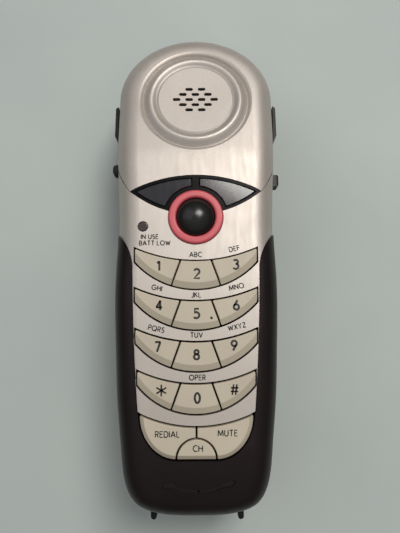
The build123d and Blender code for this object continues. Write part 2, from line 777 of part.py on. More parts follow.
def make_ringer_switch():
    """Slide switch on the right flank: knob outside, body inside."""
    face = SWITCH_FACE_X
    with BuildPart() as knob:
        add(block(face, face + 2.5, SWITCH_Y - 2.15, SWITCH_Y + 2.15, PARTING - 2.6, PARTING + 2.6))
        fillet(knob.faces().sort_by(Axis.X)[-1].edges(), 0.8)
        add(block(23.5, face, SWITCH_Y - STEM_HALF, SWITCH_Y + STEM_HALF, PARTING - 0.9, PARTING + 0.9))
    save(knob.part, "ringer_switch_knob")
    with BuildPart() as body:
        add(block(18.8, 23.3, SWITCH_Y - 5.0, SWITCH_Y + 6.0, PARTING - 3.2, PARTING + 3.2))
    save(body.part, "ringer_switch_body")


# ---------------------------------------------------------------- inside the handset
def make_electronics(ear):
    """Circuit board, keypad mat and the components between the two shells."""
    board_low = -65.0
    board_high = 26.0
    middle = (board_low + board_high) / 2
    with BuildPart() as board:
        with BuildSketch(Plane.XY.offset(44.5)):
            with Locations((0, middle)):
                RectangleRounded(40, board_high - board_low, 4)
        extrude(amount=1.6)
    save(board.part, "main_board")
    with BuildPart() as mat:
        with BuildSketch(Plane.XY.offset(46.1)):
            with Locations((0, middle)):
                RectangleRounded(42, board_high - board_low, 5)
            with Locations((LENS_X, LENS_Y)):
                Circle(2.2, mode=Mode.SUBTRACT)
        extrude(amount=1.1)
    save(mat.part, "keypad_mat")
    save(block(-13, 13, -51, -29, 40.3, 44.5), "rf_shield_can")
    save(rod(0, 14, 7.0, 39.5, 44.5), "buzzer")
    save(block(-11, 11, 77.5, 79.0, 27.0, 40.0), "antenna_strip")
    with BuildPart() as speaker:
        with BuildSketch(ear.offset(-9.0)):
            Circle(9.0)
        extrude(amount=2.6)
        with BuildSketch(ear.offset(-6.4)):
            Circle(14.0)
        extrude(amount=2.4)
    save(speaker.part, "earpiece_speaker")
    with BuildPart() as gasket:
        with BuildSketch(ear.offset(-4.0)):
            Circle(14.0)
            Circle(11.2, mode=Mode.SUBTRACT)
        extrude(amount=4.0 - WALL)
    save(gasket.part, "speaker_gasket")
    microphone_y = -74.0
    save(rod(0.5, microphone_y, 3.0, 43.2, 45.9), "microphone")
    with BuildPart() as boot:
        add(rod(0.5, microphone_y, 4.2, 42.2, 46.4))
        add(rod(0.5, microphone_y, 3.0, 43.2, 45.9), mode=Mode.SUBTRACT)
        add(rod(0.5, microphone_y, 0.8, 45.0, 47.0), mode=Mode.SUBTRACT)
    save(boot.part, "microphone_boot")


def make_battery():
    """Three cells in one sleeve, their connector, and the sliding door."""
    middle = (BAY_LOW_Y + BAY_HIGH_Y) / 2
    with BuildPart() as pack:
        with BuildSketch(Plane.XZ.offset(-(middle + CELL_LENGTH / 2))):
            with Locations(*[(step * CELL_PITCH, 29.1) for step in (-1, 0, 1)]):
                Circle(CELL_RADIUS)
        extrude(amount=CELL_LENGTH)
    save(pack.part, "battery_pack")
    save(block(-4, 4, BAY_HIGH_Y + BAY_WALL, BAY_HIGH_Y + BAY_WALL + 5, 27, 33), "battery_connector")
    half = BAY_HALF_WIDTH - DOOR_GAP
    with BuildPart() as door:
        add(block(-half, half, BAY_LOW_Y + DOOR_GAP, BAY_HIGH_Y - DOOR_GAP, HANDSET_BACK, HANDSET_BACK + 1.8))
        with BuildSketch(Plane.XY.offset(HANDSET_BACK)):
            with Locations(*[(0, BAY_HIGH_Y - 6 - 2 * rib) for rib in range(4)]):
                SlotOverall(14, 0.9)
        extrude(amount=0.6, mode=Mode.SUBTRACT)
    save(door.part, "battery_door")


def make_handset_fasteners():
    """Four self-tapping screws from the back, and the two charging plates."""
    with BuildPart() as screws:
        for x, y in HANDSET_SCREWS:
            add(rod(x, y, HEAD_RADIUS, HANDSET_BACK + 0.6, HANDSET_BACK + 2.5))
            add(rod(x, y, SHANK_RADIUS, HANDSET_BACK + 2.5, 46.0))
            add(cross_slot(x, y, 1.5, HANDSET_BACK, HANDSET_BACK + 1.1), mode=Mode.SUBTRACT)
    save(screws.part, "handset_screws")
    with BuildPart() as contacts:
        for side in (1, -1):
            add(contact_plate(side, HANDSET_BACK))
    save(contacts.part, "charge_contacts")


# ---------------------------------------------------------------- base
def base_body(inset, low, high):
    """Slice of the base's tapering body, moved in by inset."""
    with BuildPart() as body:
        with BuildSketch(Plane.XY.offset(FOOT_HEIGHT)):
            add(handset_outline(inset, BASE_FLOOR_SCALE, BASE_FLOOR_CENTRE))
        with BuildSketch(Plane.XY.offset(RIM_TOP)):
            add(handset_outline(inset, BASE_RIM_SCALE, BASE_RIM_CENTRE))
        loft()
        add(block(-60, 60, -120, 120, low, high), mode=Mode.INTERSECT)
    return body.part


def jack_openings():
    """Two rectangular windows in the end wall, in front of the line and power jacks."""
    with BuildPart() as openings:
        low_x, high_x = LINE_SOCKET_X
        add(block(low_x - 0.2, high_x + 0.2, JACK_FACE_Y, 99, 9.8, 17.2))
        low_x, high_x = POWER_JACK_X
        add(block(low_x + 0.4, high_x - 0.4, JACK_FACE_Y, 99, 9.6, 18.0))
    return openings.part


def page_slot(grow, low, high):
    """Oblong shaft for the page button, in the rim behind the earpiece end."""
    with BuildPart() as shaft:
        with BuildSketch(Plane.XY.offset(low)):
            with Locations((0, PAGE_Y)):
                SlotOverall(11.0 + 2 * grow, 3.0 + 2 * grow)
        extrude(amount=high - low)
    return shaft.part


def make_base_top():
    """Cradle: tapering body, deck under the handset, two side arms and two end prongs."""
    cradle = handset_envelope(-CRADLE_SIDE_GAP, HANDSET_BACK - CRADLE_FLOOR_GAP, HANDSET_FRONT + 4, 0.4)
    with BuildPart() as top:
        add(base_body(0, FLOOR_TOP + 0.05, RIM_TOP))
        add(base_body(BASE_WALL, FLOOR_TOP, DECK_UNDER), mode=Mode.SUBTRACT)
        for side in (1, -1):
            with BuildSketch(Plane.XY.offset(DECK_UNDER)):
                Polygon(*[(side * x, y) for x, y in EAR_ARM], align=None)
            extrude(amount=EAR_ARM_TOP - DECK_UNDER)
            x = side * PRONG_X
            with BuildSketch(Plane.XY.offset(PRONG_FOOT)):
                with Locations((x, (PRONG_END_Y + PRONG_START_Y) / 2)):
                    SlotOverall(PRONG_START_Y - PRONG_END_Y, PRONG_WIDTH, rotation=90)
            extrude(amount=PRONG_TOP - PRONG_FOOT)
        add(cradle, mode=Mode.SUBTRACT)
        for x, y in BASE_SCREWS:
            add(rod(x, y, 2.8, FLOOR_TOP + 0.05, DECK_UNDER + 0.5))
            add(rod(x, y, SHANK_RADIUS + 0.05, FLOOR_TOP - 1, 14.0), mode=Mode.SUBTRACT)
        low_y, high_y = CONTACT_Y - 3.0, CONTACT_Y + 3.0
        for x in (CONTACT_X, -CONTACT_X):
            add(block(x - 1.6, x + 1.6, low_y, high_y, DECK_UNDER - 2, 24), mode=Mode.SUBTRACT)
        add(jack_openings(), mode=Mode.SUBTRACT)
        add(page_slot(0.2, DECK_UNDER - 2, RIM_TOP + 2), mode=Mode.SUBTRACT)
        add(rod(*LIGHT, LIGHT_RADIUS + 0.1, DECK_UNDER - 2, RIM_TOP + 2), mode=Mode.SUBTRACT)
    save(top.part, "base_top")


def keyhole(x, y):
    """Wall-hanging keyhole: a round entry with a narrower slot towards +Y."""
    with BuildPart() as hole:
        with BuildSketch(Plane.XY.offset(FOOT_HEIGHT - 1)):
            with Locations((x, y)):
                Circle(4.2)
            with Locations((x, y + 4.5)):
                SlotOverall(13.4, 4.4, rotation=90)
        extrude(amount=5)
    return hole.part


def make_base_bottom():
    """Floor of the base, with screw holes, board posts and two keyholes."""
    with BuildPart() as bottom:
        add(base_body(0, FOOT_HEIGHT, FLOOR_TOP))
        for x, y in ((16, 76), (-16, 76), (16, -68), (-16, -68)):
            add(rod(x, y, 2.5, FLOOR_TOP - 0.5, BOARD_UNDER))
        for x, y in BASE_SCREWS:
            add(rod(x, y, SHANK_RADIUS + 0.3, 0, 6), mode=Mode.SUBTRACT)
            add(rod(x, y, HEAD_RADIUS + 0.2, 0, FOOT_HEIGHT + 1.0), mode=Mode.SUBTRACT)
        for y in (50, -50):
            add(keyhole(0, y), mode=Mode.SUBTRACT)
    save(bottom.part, "base_bottom")


def make_base_parts():
    """Feet, screws, board and the components of the base."""
    with BuildPart() as feet:
        for x, y in FEET:
            add(rod(x, y, 4.5, 0, FOOT_HEIGHT))
        fillet(feet.edges().group_by(Axis.Z)[0], 0.6)
    save(feet.part, "base_feet")
    with BuildPart() as screws:
        for x, y in BASE_SCREWS:
            add(rod(x, y, HEAD_RADIUS, FOOT_HEIGHT + 0.1, FOOT_HEIGHT + 1.0))
            add(rod(x, y, SHANK_RADIUS, FOOT_HEIGHT + 1.0, 13.0))
            add(cross_slot(x, y, 1.4, 1, FOOT_HEIGHT + 0.6), mode=Mode.SUBTRACT)
    save(screws.part, "base_screws")
    with BuildPart() as board:
        with BuildSketch(Plane.XY.offset(BOARD_UNDER)):
            with Locations((0, 2)):
                RectangleRounded(38, 164, 5)
            with Locations((0, 86)):
                Rectangle(12, 12)
        extrude(amount=BOARD_TOP - BOARD_UNDER)
    save(board.part, "base_board")
    save(block(-12, 12, -20, 16, BOARD_TOP, BOARD_TOP + 4), "base_rf_shield")
    save(block(-16, -14.5, 22, 62, BOARD_TOP, BOARD_TOP + 7), "base_antenna")
    with BuildPart() as springs:
        for side in (1, -1):
            with BuildSketch(Plane.YZ.offset(side * CONTACT_X - 1.1)):
                with BuildLine():
                    crown = CONTACT_Y
                    Polyline(
                        (crown - 2.6, BOARD_TOP),
                        (crown - 2.6, DECK_UNDER - 1),
                        (crown - 0.8, HANDSET_BACK - 0.15),
                        (crown + 0.8, HANDSET_BACK - 0.15),
                        (crown + 2.6, DECK_UNDER - 1),
                        (crown + 2.0, DECK_UNDER - 1),
                        (crown + 0.5, HANDSET_BACK - 0.75),
                        (crown - 0.5, HANDSET_BACK - 0.75),
                        (crown - 2.0, DECK_UNDER - 1),
                        (crown - 2.0, BOARD_TOP),
                        close=True,
                    )
                make_face()
            extrude(amount=2.2)
    save(springs.part, "charge_springs")
    with BuildPart() as line_jack:
        add(block(*LINE_JACK_X, JACK_FACE_Y - 14, JACK_FACE_Y, BOARD_TOP, 18.8))
        add(block(*LINE_SOCKET_X, JACK_FACE_Y - 12, JACK_FACE_Y + 1, 10.0, 17.0), mode=Mode.SUBTRACT)
    save(line_jack.part, "line_jack")
    with BuildPart() as power_jack:
        add(block(*POWER_JACK_X, JACK_FACE_Y - 13, JACK_FACE_Y, BOARD_TOP, 18.6))
        with BuildSketch(Plane.XZ.offset(-(JACK_FACE_Y - 9.5))):
            with Locations((sum(POWER_JACK_X) / 2, 13.8)):
                Circle(3.0)
                Circle(1.0, mode=Mode.SUBTRACT)
        extrude(amount=-12, mode=Mode.SUBTRACT)
    save(power_jack.part, "power_jack")
    with BuildPart() as page:
        add(page_slot(0, 20.5, RIM_TOP + 0.9))
        fillet(page.faces().sort_by(Axis.Z)[-1].edges(), 0.5)
        add(block(-2.5, 2.5, PAGE_Y - 0.9, PAGE_Y + 0.9, 12.6, 21))
    save(page.part, "page_button")
    save(block(-3, 3, PAGE_Y - 3, PAGE_Y + 0.4, BOARD_TOP, 11.6), "page_switch")
    with BuildPart() as light:
        add(rod(*LIGHT, LIGHT_RADIUS, DECK_UNDER + 0.5, RIM_TOP + 0.3))
        fillet(light.faces().sort_by(Axis.Z)[-1].edges(), 0.3)
    save(light.part, "charge_light_lens")


# ---------------------------------------------------------------- build everything
def main():
    os.makedirs("parts", exist_ok=True)
    outer = handset_envelope()
    inner = handset_envelope(WALL, HANDSET_BACK + WALL, HANDSET_FRONT - WALL, -WALL + 0.2)
    ear = earpiece_plane()
    make_upper_cover(outer, inner, ear)
    make_front_housing(outer, inner)
    make_grip_shell(inner)
    make_rear_housing(outer, inner)
    make_digit_keys()
    make_function_keys()
    make_eye()
    make_talk_key()
    make_status_light()
    make_headset_jack()
    make_ringer_switch()
    make_electronics(ear)
    make_battery()
    make_handset_fasteners()
    make_base_top()
    make_base_bottom()
    make_base_parts()


main()
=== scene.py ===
import json
from math import copysign, cos, pi, radians, sin

import bpy
from mathutils import Matrix, Vector


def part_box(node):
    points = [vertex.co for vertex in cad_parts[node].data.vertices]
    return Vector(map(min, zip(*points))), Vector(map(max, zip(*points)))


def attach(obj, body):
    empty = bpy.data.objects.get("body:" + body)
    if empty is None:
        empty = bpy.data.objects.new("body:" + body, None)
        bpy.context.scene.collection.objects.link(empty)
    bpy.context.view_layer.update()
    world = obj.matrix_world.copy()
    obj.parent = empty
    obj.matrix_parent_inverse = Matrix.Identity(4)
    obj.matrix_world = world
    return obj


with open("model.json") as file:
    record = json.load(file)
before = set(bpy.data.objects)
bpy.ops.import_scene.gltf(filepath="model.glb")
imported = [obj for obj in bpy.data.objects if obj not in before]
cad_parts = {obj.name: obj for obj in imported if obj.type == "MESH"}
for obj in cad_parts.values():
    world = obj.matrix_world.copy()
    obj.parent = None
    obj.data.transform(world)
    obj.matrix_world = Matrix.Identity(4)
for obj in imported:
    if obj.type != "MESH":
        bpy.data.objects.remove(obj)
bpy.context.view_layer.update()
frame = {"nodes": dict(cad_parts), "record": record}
nodes = frame["nodes"]
MM = 0.001


def place_in_scene(name, data):
    """New object around the given data, linked to the scene."""
    thing = bpy.data.objects.new(name, data)
    bpy.context.scene.collection.objects.link(thing)
    return thing


# ---------------------------------------------------------------- camera
VIEW_POINT = Vector((1.38, -24.08, 211.3)) * MM
VIEW_TILT = radians(8.0)
VIEW_ROLL = radians(-0.29)
LENS = 32.0
SENSOR = 36.0
CLIP_NEAR = 0.01
CLIP_FAR = 20


def make_camera():
    """Camera above the keypad, tipped a little towards the earpiece end."""
    data = bpy.data.cameras.new("camera")
    data.lens = LENS
    data.sensor_width = SENSOR
    data.clip_start = CLIP_NEAR
    data.clip_end = CLIP_FAR
    camera = place_in_scene("camera", data)
    camera.location = VIEW_POINT
    tip = Matrix.Rotation(VIEW_TILT, 4, "X")
    roll = Matrix.Rotation(VIEW_ROLL, 4, "Z")
    camera.rotation_euler = (tip @ roll).to_euler()
    bpy.context.scene.camera = camera


# ---------------------------------------------------------------- material helpers
# Places of the colour sockets on a Mix node.
MIX_FACTOR = 0
MIX_FIRST = 6
MIX_SECOND = 7
MIX_RESULT = 2


class Shader:
    """One procedural material: a Principled shader and short ways to feed its inputs."""

    def __init__(self, name, **constants):
        self.material = bpy.data.materials.new(name)
        self.material.use_nodes = True
        self.tree = self.material.node_tree
        self.surface = self.tree.nodes["Principled BSDF"]
        for socket, value in constants.items():
            self.surface.inputs[socket.replace("_", " ")].default_value = value
        self.place = self.tree.nodes.new("ShaderNodeTexCoord").outputs["Object"]

    def link(self, source, target):
        self.tree.links.new(source, target)

    def texture(self, kind, scale, stretch):
        """Texture node over the object's own coordinates; scale is in features per metre."""
        mapping = self.tree.nodes.new("ShaderNodeMapping")
        mapping.inputs["Scale"].default_value = stretch
        self.link(self.place, mapping.inputs["Vector"])
        node = self.tree.nodes.new(kind)
        node.inputs["Scale"].default_value = scale
        self.link(mapping.outputs[0], node.inputs["Vector"])
        return node

    def noise(self, scale, detail=3.0, stretch=(1, 1, 1), roughness=0.5):
        """Noise value between 0 and 1."""
        node = self.texture("ShaderNodeTexNoise", scale, stretch)
        node.inputs["Detail"].default_value = detail
        node.inputs["Roughness"].default_value = roughness
        return node.outputs[0]

    def cells(self, scale, stretch=(1, 1, 1)):
        """Distance to the nearest random point, small at the points."""
        return self.texture("ShaderNodeTexVoronoi", scale, stretch).outputs["Distance"]

    def ramp(self, value, stops):
        """Colours along value: stops are (position, colour) pairs."""
        node = self.tree.nodes.new("ShaderNodeValToRGB")
        elements = node.color_ramp.elements
        while len(elements) < len(stops):
            elements.new(0.5)
        for element, (position, colour) in zip(elements, stops):
            element.position = position
            element.color = (*colour, 1)
        self.link(value, node.inputs[0])
        return node.outputs[0]

    def spread(self, value, low, high, start=0.3, end=0.7):
        """Value remapped so that start to end becomes low to high."""
        node = self.tree.nodes.new("ShaderNodeMapRange")
        node.inputs["From Min"].default_value = start
        node.inputs["From Max"].default_value = end
        node.inputs["To Min"].default_value = low
        node.inputs["To Max"].default_value = high
        self.link(value, node.inputs[0])
        return node.outputs[0]

    def mixed(self, factor, first, second, blend="MIX"):
        """First colour blended with second by factor; each may be a colour or a socket."""
        node = self.tree.nodes.new("ShaderNodeMix")
        node.data_type = "RGBA"
        node.blend_type = blend
        for index, source in ((MIX_FACTOR, factor), (MIX_FIRST, first), (MIX_SECOND, second)):
            socket = node.inputs[index]
            if isinstance(source, bpy.types.NodeSocket):
                self.link(source, socket)
            elif isinstance(source, tuple):
                socket.default_value = (*source, 1)
            else:
                socket.default_value = source
        return node.outputs[MIX_RESULT]

    def colour(self, source):
        self.link(source, self.surface.inputs["Base Color"])

    def rough(self, source):
        self.link(source, self.surface.inputs["Roughness"])

    def bump(self, height, strength, distance):
        """Adds relief; several calls stack on each other."""
        node = self.tree.nodes.new("ShaderNodeBump")
        node.inputs["Strength"].default_value = strength
        node.inputs["Distance"].default_value = distance
        self.link(height, node.inputs["Height"])
        normal = self.surface.inputs["Normal"]
        if normal.links:
            self.link(normal.links[0].from_socket, node.inputs["Normal"])
        self.link(node.outputs[0], normal)


def tinted(colour, amount):
    """Colour made lighter or darker by a factor."""
    return tuple(min(1.0, channel * amount) for channel in colour)


# Feature scales are in features per metre, relief depths in metres.
DRIFT_SCALE = 60
DUST_SCALE = 900
DUST_COVER = 0.35
DUST_TINT = 1.8
RUB_SCALE = 500
ALONG_LENGTH = (1, 0.12, 1)
GRAIN_DEPTH = 0.04 * MM
FLAKE_SCALE = 5200
FLAKE_DARK = (0.44, 0.405, 0.375)
FLAKE_LIGHT = (0.60, 0.555, 0.515)
FLAKE_DEPTH = 0.03 * MM
CLOUD_SCALE = 45
SPECK_SCALE = 420
SPECK_COLOUR = (0.25, 0.23, 0.21)
BRUSH_SCALE = 1500
BRUSH_STRETCH = (1, 0.05, 1)
BRUSH_DEPTH = 0.03 * MM
TRACK_SCALE = 300
TRACK_DEPTH = 0.05 * MM
INK_GRAIN_SCALE = 3500
INK_GRAIN_DEPTH = 0.02 * MM


def plastic(name, colour, roughness, grain=0.25, grain_scale=2600, variation=0.12, **constants):
    """Moulded plastic: slight colour drift, fine grain, faint rubbing marks and dust."""
    shader = Shader(name, **constants)
    drift = shader.noise(DRIFT_SCALE, 4)
    base = shader.ramp(drift, [(0.3, tinted(colour, 1 - variation)), (0.7, tinted(colour, 1 + variation))])
    dust = shader.spread(shader.cells(DUST_SCALE), DUST_COVER, 0.0, 0.02, 0.07)
    shader.colour(shader.mixed(dust, base, tinted(colour, DUST_TINT)))
    rub = shader.noise(RUB_SCALE, 5, ALONG_LENGTH)
    shader.rough(shader.spread(rub, roughness * 0.85, min(1.0, roughness * 1.2)))
    shader.bump(shader.noise(grain_scale, 2), grain, GRAIN_DEPTH)
    return shader


def silver_paint():
    """Satin silver paint: fine metal flakes in a warm grey, with a soft clear coat."""
    shader = Shader("silver_paint", Metallic=0.66, Coat_Weight=0.05, Coat_Roughness=0.4)
    flakes = shader.noise(FLAKE_SCALE, 2, roughness=0.7)
    drift = shader.noise(CLOUD_SCALE, 3)
    base = shader.ramp(flakes, [(0.3, FLAKE_DARK), (0.7, FLAKE_LIGHT)])
    cloud = shader.ramp(drift, [(0.3, (0.93, 0.92, 0.91)), (0.7, (1.0, 1.0, 1.0))])
    paint = shader.mixed(1.0, base, cloud, "MULTIPLY")
    speck = shader.spread(shader.cells(SPECK_SCALE), 0.5, 0.0, 0.015, 0.035)
    shader.colour(shader.mixed(speck, paint, SPECK_COLOUR))
    shader.rough(shader.spread(shader.noise(700, 4, (1, 0.2, 1)), 0.46, 0.54))
    shader.bump(flakes, 0.12, FLAKE_DEPTH)
    return shader


def metal(name, colour, roughness):
    """Plated sheet metal with fine drawn lines."""
    shader = Shader(name, Metallic=1.0)
    drift = shader.noise(300, 3)
    shader.colour(shader.ramp(drift, [(0.3, tinted(colour, 0.85)), (0.7, colour)]))
    lines = shader.noise(BRUSH_SCALE, 3, BRUSH_STRETCH)
    shader.rough(shader.spread(lines, roughness * 0.8, roughness * 1.3))
    shader.bump(lines, 0.15, BRUSH_DEPTH)
    return shader


def circuit_board():
    """Solder resist over copper tracks."""
    shader = Shader("circuit_board", Roughness=0.45)
    tracks = shader.spread(shader.cells(TRACK_SCALE, (1, 0.3, 1)), 0.0, 1.0, 0.25, 0.3)
    shader.colour(shader.mixed(tracks, (0.03, 0.15, 0.06), (0.05, 0.24, 0.10)))
    shader.bump(tracks, 0.3, TRACK_DEPTH)
    return shader


def ink(name, colour):
    """Pad-printed ink with slightly uneven cover."""
    shader = Shader(name, Roughness=0.5)
    cover = shader.noise(INK_GRAIN_SCALE, 3)
    shader.colour(shader.ramp(cover, [(0.35, colour), (0.75, tinted(colour, 1.6))]))
    shader.bump(cover, 0.2, INK_GRAIN_DEPTH)
    return shader


WARM_SHEEN = {"Specular_IOR_Level": 0.24, "Specular_Tint": (1.0, 0.82, 0.84, 1.0)}
MATERIALS = {
    "silver_paint": silver_paint(),
    "grip_plastic": plastic("grip_plastic", (0.0085, 0.0062, 0.0066), 0.36, 0.35, 2400, **WARM_SHEEN),
    "rear_plastic": plastic("rear_plastic", (0.009, 0.0082, 0.0086), 0.42, Specular_IOR_Level=0.2),
    "base_plastic": plastic("base_plastic", (0.0085, 0.0085, 0.009), 0.42, Specular_IOR_Level=0.2),
    "bezel_plastic": plastic("bezel_plastic", (0.003, 0.0028, 0.003), 0.3, 0.1, Specular_IOR_Level=0.08),
    "key_plastic": plastic("key_plastic", (0.50, 0.445, 0.35), 0.50, 0.2, 3000, 0.05),
    "eye_key_plastic": plastic("eye_key_plastic", (0.012, 0.012, 0.017), 0.14, 0.02, Specular_IOR_Level=0.6),
    "dome_plastic": plastic("dome_plastic", (0.006, 0.006, 0.006), 0.24, 0.02),
    "ring_plastic": plastic("ring_plastic", (0.55, 0.085, 0.105), 0.36, 0.15, 2600, 0.08),
    "lens": plastic("lens", (0.05, 0.035, 0.035), 0.15, 0.05),
    "diode": plastic("diode", (0.35, 0.03, 0.03), 0.2, 0.05),
    "jack_plastic": plastic("jack_plastic", (0.02, 0.02, 0.022), 0.5),
    "circuit_board": circuit_board(),
    "rubber_black": plastic("rubber_black", (0.015, 0.015, 0.015), 0.75, 0.4, 1800),
    "shield_metal": metal("shield_metal", (0.62, 0.62, 0.60), 0.35),
    "bright_metal": metal("bright_metal", (0.70, 0.68, 0.62), 0.28),
    "speaker_metal": metal("speaker_metal", (0.5, 0.5, 0.5), 0.4),
    "battery_sleeve": plastic("battery_sleeve", (0.03, 0.10, 0.30), 0.25, 0.1),
}
INK = ink("legend_ink", (0.010, 0.009, 0.009)).material
PANEL_INK = ink("panel_ink", (0.012, 0.011, 0.011)).material


def paint_frame():
    """Gives every CAD node the material of its slot."""
    slots = {part["node"]: part["material_slot"] for part in frame["record"]["subparts"]}
    for name, node in nodes.items():
        node.data.materials.clear()
        node.data.materials.append(MATERIALS[slots[name]].material)


# ---------------------------------------------------------------- floor and light
FLOOR_HALF = 1.5
FLOOR_DARK = (0.42, 0.47, 0.46)
FLOOR_PALE = (0.47, 0.52, 0.505)
FLOOR_DEPTH = 0.2 * MM
HORIZON = (0.15, (0.06, 0.058, 0.055, 1))
ZENITH = (0.95, (0.46, 0.455, 0.445, 1))


def make_floor():
    """Plain pale floor with a faint mottling."""
    shader = Shader("floor", Roughness=0.8)
    shader.colour(shader.ramp(shader.noise(12, 4), [(0.3, FLOOR_DARK), (0.7, FLOOR_PALE)]))
    shader.bump(shader.noise(900, 3), 0.1, FLOOR_DEPTH)
    mesh = bpy.data.meshes.new("floor")
    corners = [(x * FLOOR_HALF, y * FLOOR_HALF, 0) for x, y in ((-1, -1), (1, -1), (1, 1), (-1, 1))]
    mesh.from_pydata(corners, [], [(0, 1, 2, 3)])
    mesh.materials.append(shader.material)
    floor = place_in_scene("floor", mesh)


def area_light(name, place, target, side, power, colour):
    """Square lamp at place that faces target; metres and watts."""
    data = bpy.data.lights.new(name, "AREA")
    data.size = side
    data.energy = power
    data.color = colour
    lamp = place_in_scene(name, data)
    lamp.location = place
    lamp.rotation_euler = (Vector(target) - Vector(place)).to_track_quat("-Z", "Y").to_euler()


def make_light():
    """One soft overhead panel, a broad fill, and a surround that darkens towards the horizon."""
    area_light("overhead", (0.24, 0.36, 0.84), (0, 0.01, 0.04), 0.34, 5.3, (1.0, 0.955, 0.90))
    area_light("fill", (-0.9, 0.5, 1.3), (0, 0, 0), 1.4, 3.0, (0.95, 0.97, 1.0))
    world = bpy.data.worlds.new("surround")
    world.use_nodes = True
    tree = world.node_tree
    direction = tree.nodes.new("ShaderNodeTexCoord")
    split = tree.nodes.new("ShaderNodeSeparateXYZ")
    sky = tree.nodes.new("ShaderNodeValToRGB")
    tree.links.new(direction.outputs["Generated"], split.inputs[0])
    tree.links.new(split.outputs["Z"], sky.inputs[0])
    tree.links.new(sky.outputs[0], tree.nodes["Background"].inputs["Color"])
    for element, (height, colour) in zip(sky.color_ramp.elements, (HORIZON, ZENITH)):
        element.position = height
        element.color = colour
    bpy.context.scene.world = world
    bpy.context.scene.view_settings.view_transform = "Standard"


# ---------------------------------------------------------------- dark cloth behind the earpiece
CLOTH_TILT = radians(8.0)
CLOTH_LIFT = 1.55 * MM
CLOTH_RADIUS = 11.0 * MM
CLOTH_SIDES = 64
CLOTH_DEPTH = 0.08 * MM


def make_speaker_cloth():
    """Thin woven disc under the earpiece slots, tilted as the earpiece is."""
    low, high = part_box("speaker_gasket")
    centre = (low + high) / 2 + Vector((0, sin(CLOTH_TILT), cos(CLOTH_TILT))) * CLOTH_LIFT
    shader = Shader("cloth", Roughness=0.95)
    weave = shader.cells(2500)
    shader.colour(shader.ramp(weave, [(0.2, (0.010, 0.010, 0.011)), (0.8, (0.004, 0.004, 0.004))]))
    shader.bump(weave, 0.5, CLOTH_DEPTH)
    turns = [2 * pi * corner / CLOTH_SIDES for corner in range(CLOTH_SIDES)]
    outline = [(CLOTH_RADIUS * cos(turn), CLOTH_RADIUS * sin(turn), 0) for turn in turns]
    mesh = bpy.data.meshes.new("speaker_cloth")
    mesh.from_pydata(outline, [], [tuple(range(CLOTH_SIDES))])
    mesh.transform(Matrix.Translation(centre) @ Matrix.Rotation(-CLOTH_TILT, 4, "X"))
    mesh.materials.append(shader.material)
    cloth = place_in_scene("speaker_cloth", mesh)
    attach(cloth, "handset")


# ---------------------------------------------------------------- legends
KEY_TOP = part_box("key_5")[1].z
PANEL_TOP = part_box("front_housing")[1].z
INK_THICKNESS = 0.02 * MM


def place_ink(name, curve, place, body, top, turn, material):
    """Turns a curve into printed ink centred at place (millimetres) on a body's top face."""
    source = place_in_scene(name + "_curve", curve)
    bpy.context.view_layer.update()
    mesh = bpy.data.meshes.new_from_object(source)
    bpy.data.objects.remove(source)
    across = [vertex.co.x for vertex in mesh.vertices]
    along = [vertex.co.y for vertex in mesh.vertices]
    for vertex in mesh.vertices:
        vertex.co.z = copysign(INK_THICKNESS, vertex.co.z)
    middle = Vector(((min(across) + max(across)) / 2, (min(along) + max(along)) / 2, 0))
    mesh.transform(Matrix.Translation(-middle))
    mesh.transform(Matrix.Rotation(radians(turn), 4, "Z"))
    mesh.transform(Matrix.Translation((place[0] * MM, place[1] * MM, top)))
    mesh.materials.clear()
    mesh.materials.append(material)
    print_object = place_in_scene(name, mesh)
    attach(print_object, body)


def drawn(name, strokes, place, height, thickness, body, top, turn=0.0, material=INK):
    """Printed sign of round-ended strokes, drawn in a box one unit high; sizes in millimetres."""
    curve = bpy.data.curves.new(name, "CURVE")
    curve.dimensions = "3D"
    curve.bevel_depth = thickness / 2 * MM
    curve.bevel_resolution = 3
    curve.use_fill_caps = True
    for points in strokes:
        spline = curve.splines.new("POLY")
        spline.points.add(len(points) - 1)
        for point, (x, y) in zip(spline.points, points):
            point.co = (x * height * MM, y * height * MM, 0, 1)
    place_ink(name, curve, place, body, top, turn, material)


ARC_STEP = 12
ARC_STEPS_LEAST = 6


def arc(x, y, reach_x, reach_y, start, end):
    """Points of an elliptical arc from start to end, in degrees."""
    steps = max(ARC_STEPS_LEAST, int(abs(end - start) / ARC_STEP))
    angles = [radians(start + (end - start) * step / steps) for step in range(steps + 1)]
    return [(x + reach_x * cos(angle), y + reach_y * sin(angle)) for angle in angles]


